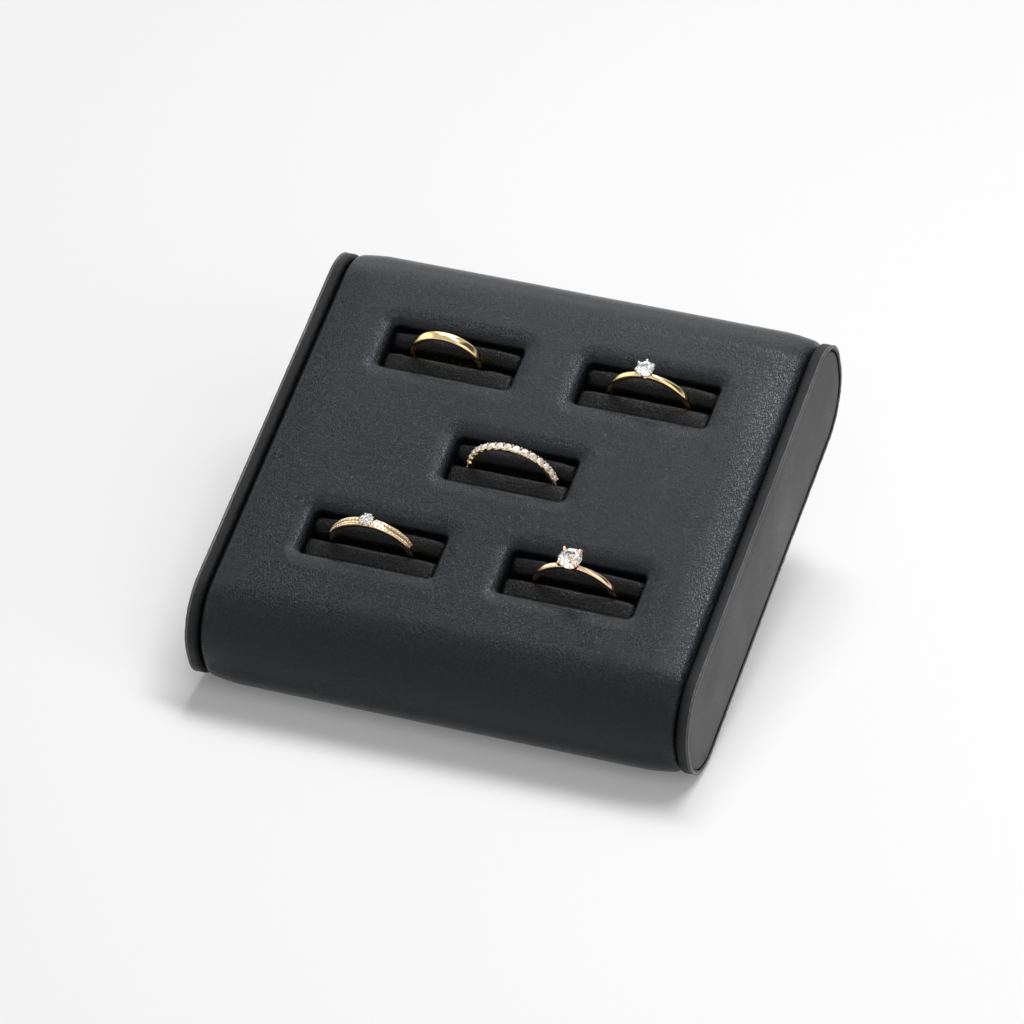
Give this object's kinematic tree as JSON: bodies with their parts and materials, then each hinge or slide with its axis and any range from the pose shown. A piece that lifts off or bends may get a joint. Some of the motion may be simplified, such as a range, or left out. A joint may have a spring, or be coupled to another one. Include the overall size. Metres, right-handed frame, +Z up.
{
  "type": "ring display",
  "caption": "Padded, sloping leather display slab on a folding rear leg, with foam-lined slots that hold finger rings upright; each ring lifts out.",
  "frame": {"origin": "on the table under the middle of the stand's box, with the stand resting on its front felt and its opened leg", "axes": "+X to the viewer's right along the slab's long low edge, -Y towards the viewer and the low front edge, +Z up"},
  "size_m": [0.122, 0.1154, 0.0659],
  "materials": {
    "cover_leather": "fine-grained charcoal leather, satin",
    "cap_leather": "smoother charcoal leather, satin",
    "strip_cover": "soft black nappa over foam",
    "foam": "open-cell foam",
    "board": "bare fibreboard",
    "card": "black card, matt",
    "black_felt": "black felt",
    "steel": "brushed, nickel-plated",
    "screw_steel": "zinc-plated",
    "foot_rubber": "matt",
    "yellow_gold": "polished yellow gold",
    "pale_gold": "polished pale gold",
    "rose_gold": "polished rose gold",
    "white_gold": "polished white gold",
    "diamond": "brilliant-cut clear stone"
  },
  "bodies": {
    "slab": {"leather_cover": "cover_leather", "foam_padding": "foam", "top_board": "board", "bottom_board": "board", "front_rail": "board", "back_rail": "board", "left_side_board": "board", "right_side_board": "board", "base_panel": "card", "base_lining": "black_felt", "slot_tray_1": "card", "slot_tray_2": "card", "slot_tray_3": "card", "slot_tray_4": "card", "slot_tray_5": "card", "back_strip_1": "strip_cover", "back_strip_2": "strip_cover", "back_strip_3": "strip_cover", "back_strip_4": "strip_cover", "back_strip_5": "strip_cover", "front_strip_1": "strip_cover", "front_strip_2": "strip_cover", "front_strip_3": "strip_cover", "front_strip_4": "strip_cover", "front_strip_5": "strip_cover", "left_end_board": "board", "left_end_wrap": "cap_leather", "left_end_panel": "cap_leather", "right_end_board": "board", "right_end_wrap": "cap_leather", "right_end_panel": "cap_leather", "front_felt": "black_felt", "hinge_fixed_leaf": "steel", "hinge_pin": "steel", "hinge_screws": "screw_steel"},
    "leg": {"leg_board": "board", "leg_sleeve": "cover_leather", "leg_foot": "foot_rubber", "hinge_moving_leaf": "steel", "leg_screws": "screw_steel"},
    "plain_ring": {"plain_band": "yellow_gold"},
    "solitaire_ring": {"solitaire_shank": "yellow_gold", "solitaire_head": "white_gold", "solitaire_stone": "diamond"},
    "eternity_ring": {"eternity_band": "pale_gold", "eternity_stones": "diamond"},
    "shoulder_ring": {"shoulder_shank": "pale_gold", "shoulder_head": "white_gold", "shoulder_centre": "diamond", "shoulder_stones": "diamond"},
    "claw_ring": {"claw_shank": "rose_gold", "claw_head": "rose_gold", "claw_stone": "diamond"}
  },
  "joints": [
    {"name": "leg_fold", "type": "hinge", "parent": "slab", "child": "leg", "pos_m": [0, 0.03968, 0.02789], "axis": [-1, 0, 0], "range_deg": [0, 78]},
    {"name": "plain_ring_lift", "type": "slide", "parent": "slab", "child": "plain_ring", "axis": [0, -0.342, 0.9397], "range_m": [0, 0.018]},
    {"name": "solitaire_ring_lift", "type": "slide", "parent": "slab", "child": "solitaire_ring", "axis": [0, -0.342, 0.9397], "range_m": [0, 0.018]},
    {"name": "eternity_ring_lift", "type": "slide", "parent": "slab", "child": "eternity_ring", "axis": [0, -0.342, 0.9397], "range_m": [0, 0.018]},
    {"name": "shoulder_ring_lift", "type": "slide", "parent": "slab", "child": "shoulder_ring", "axis": [0, -0.342, 0.9397], "range_m": [0, 0.018]},
    {"name": "claw_ring_lift", "type": "slide", "parent": "slab", "child": "claw_ring", "axis": [0, -0.342, 0.9397], "range_m": [0, 0.018]}
  ]
}
